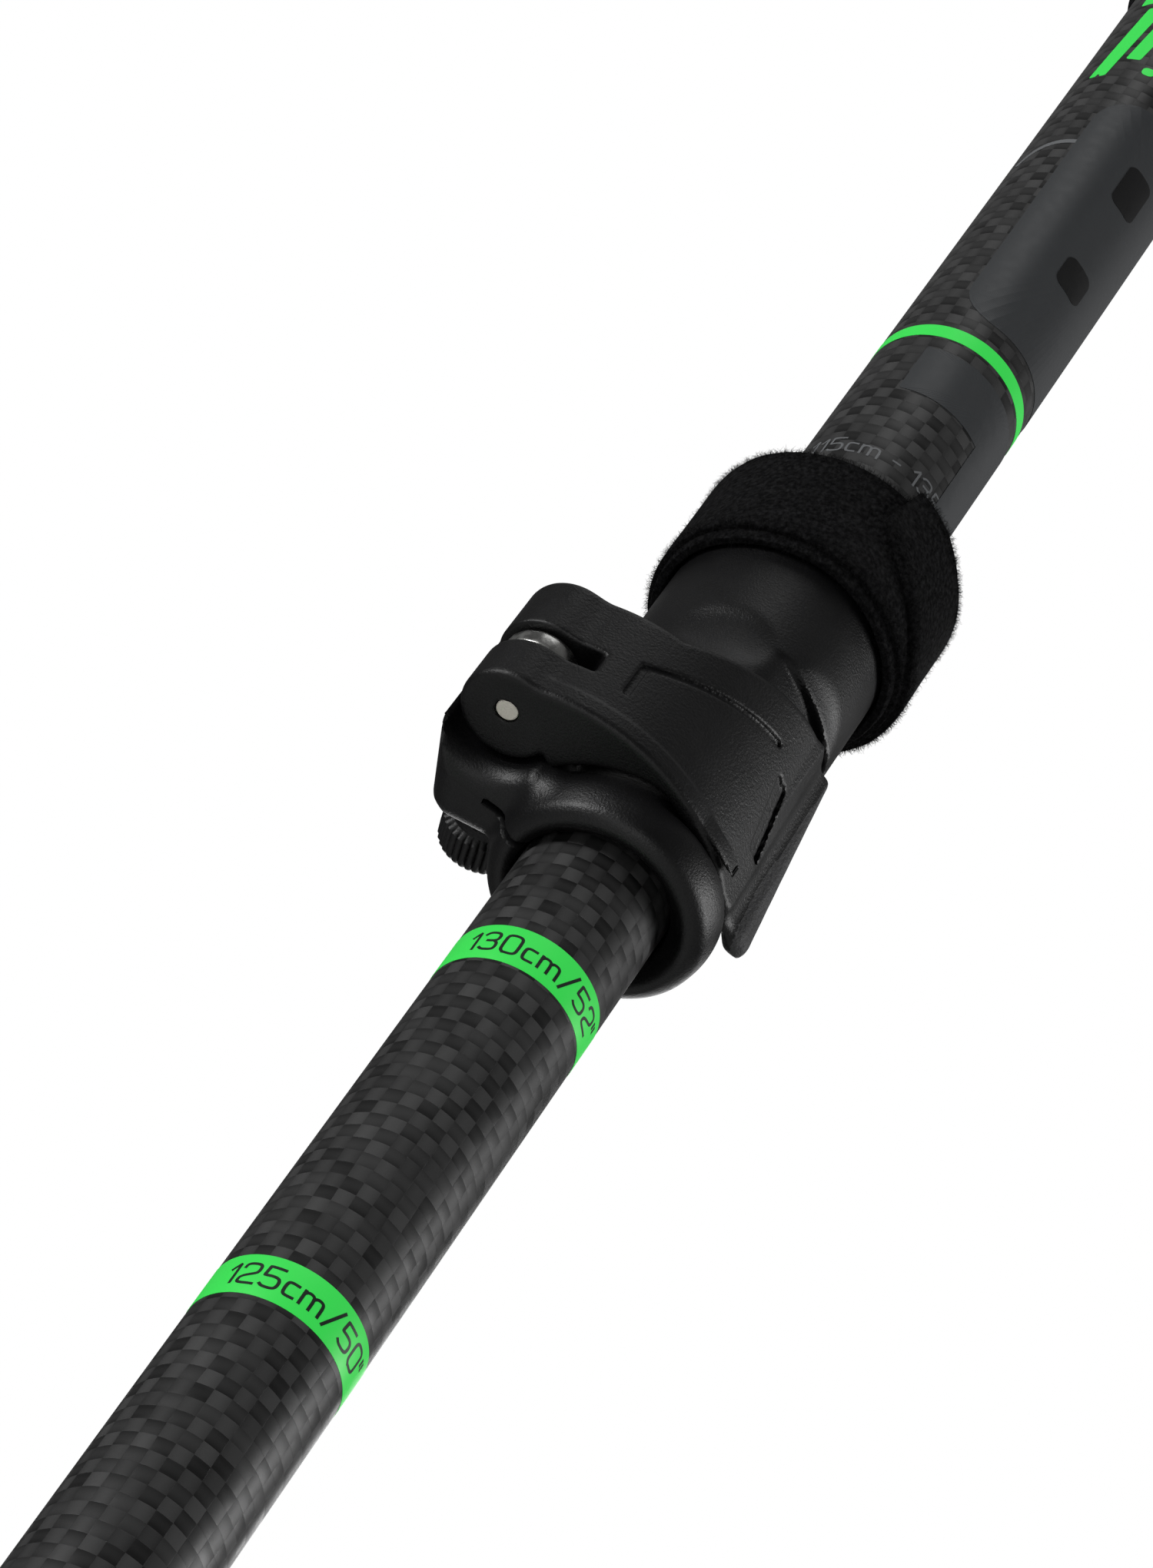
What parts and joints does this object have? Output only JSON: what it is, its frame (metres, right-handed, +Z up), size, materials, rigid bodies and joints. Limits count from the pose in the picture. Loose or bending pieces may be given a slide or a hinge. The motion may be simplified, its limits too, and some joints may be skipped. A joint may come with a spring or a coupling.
{
  "type": "folding ski-touring pole",
  "caption": "Adjustable folding carbon ski-touring pole with a lever clamp, grip, wrist strap, snow basket and carbide tip.",
  "frame": {"origin": "on the shaft axis at the flat ground end of the tip", "axes": "+Z up the shaft towards the grip; -Y the face with the clamp lever; -X the side with the clamp ears; +Y the thumb-nut side"},
  "size_m": [0.0846, 0.1192, 1.314],
  "materials": {
    "carbon": "satin carbon weave",
    "nylon": "fine-grained moulded nylon",
    "steel": "bright steel",
    "brass": "turned brass",
    "aluminium": "satin",
    "anodised": "dark anodised",
    "foam": "closed-cell foam",
    "rubber": "soft-touch grip rubber",
    "webbing": "woven webbing",
    "loop_fabric": "brushed loop fabric",
    "cord": "braided cord",
    "carbide": "sintered carbide"
  },
  "bodies": {
    "upper": {"upper_shaft": "carbon", "lock_body": "nylon", "tie_strap": "loop_fabric", "grip_extension": "foam", "grip_body": "rubber", "grip_cap": "nylon", "strap_pin": "steel", "strap_root": "webbing"},
    "strap_wedge": {"strap_wedge": "nylon"},
    "strap": {"wrist_strap": "webbing"},
    "bolt": {"eye_bolt": "steel", "hinge_pin": "steel"},
    "lever": {"lever": "nylon"},
    "nut": {"thumb_nut": "nylon", "nut_insert": "brass", "ear_washer": "steel"},
    "middle": {"middle_shaft": "carbon", "guide_bush": "nylon", "cord_anchor": "aluminium", "tension_spring": "steel", "ferrule_1": "anodised"},
    "button": {"snap_button": "aluminium", "leaf_spring": "steel"},
    "cord_1": {"cord_1": "cord"},
    "second": {"spigot_1": "anodised", "second_shaft": "carbon", "ferrule_2": "anodised"},
    "cord_2": {"cord_2": "cord"},
    "third": {"spigot_2": "anodised", "third_shaft": "carbon", "tip_holder": "nylon", "basket": "nylon", "basket_nut": "nylon", "carbide_tip": "carbide"}
  },
  "joints": [
    {"name": "length_slide", "type": "slide", "parent": "upper", "child": "middle", "axis": [0, 0, -1], "range_m": [-0.164, 0.036]},
    {"name": "lever_swing", "type": "hinge", "parent": "bolt", "child": "lever", "pos_m": [-0.0172, -0.0102, 0.9172], "axis": [0, 0, -1], "range_deg": [0, 140]},
    {"name": "bolt_draw", "type": "slide", "parent": "upper", "child": "bolt", "axis": [0.1994, 0.9799, 0], "range_m": [0, 0.00073333]},
    {"name": "nut_turn", "type": "hinge", "parent": "bolt", "child": "nut", "pos_m": [-0.0172, -0.0102, 0.9172], "axis": [0.1994, 0.9799, 0], "continuous": true},
    {"name": "wedge_lift", "type": "slide", "parent": "upper", "child": "strap_wedge", "axis": [0, 0, 1], "range_m": [0, 0.006]},
    {"name": "strap_swing", "type": "hinge", "parent": "upper", "child": "strap", "pos_m": [0, -0.0269, 1.2993], "axis": [-1, 0, 0], "range_deg": [0, 100]},
    {"name": "button_push", "type": "slide", "parent": "middle", "child": "button", "axis": [0, 1, 0], "range_m": [0, 0.0016], "stiffness_N_per_m": 800},
    {"name": "cord_pull_1", "type": "slide", "parent": "middle", "child": "cord_1", "axis": [0, 0, -1], "range_m": [0, 0.079]},
    {"name": "fold_1", "type": "hinge", "parent": "cord_1", "child": "second", "pos_m": [0, 0.015, 0.72], "axis": [1, 0, 0], "range_deg": [0, 180]},
    {"name": "cord_pull_2", "type": "slide", "parent": "second", "child": "cord_2", "axis": [0, 0, -1], "range_m": [0, 0.079]},
    {"name": "fold_2", "type": "hinge", "parent": "cord_2", "child": "third", "pos_m": [0, -0.015, 0.455], "axis": [-1, 0, 0], "range_deg": [0, 180]}
  ],
  "couplings": [
    {"joint": "lever_swing", "follows": "bolt_draw", "rad_per_m": 3332},
    {"joint": "cord_pull_1", "follows": "fold_1", "m_per_rad": 0.025},
    {"joint": "cord_pull_2", "follows": "fold_1", "m_per_rad": 0.025},
    {"joint": "fold_2", "follows": "fold_1", "ratio": 1}
  ]
}
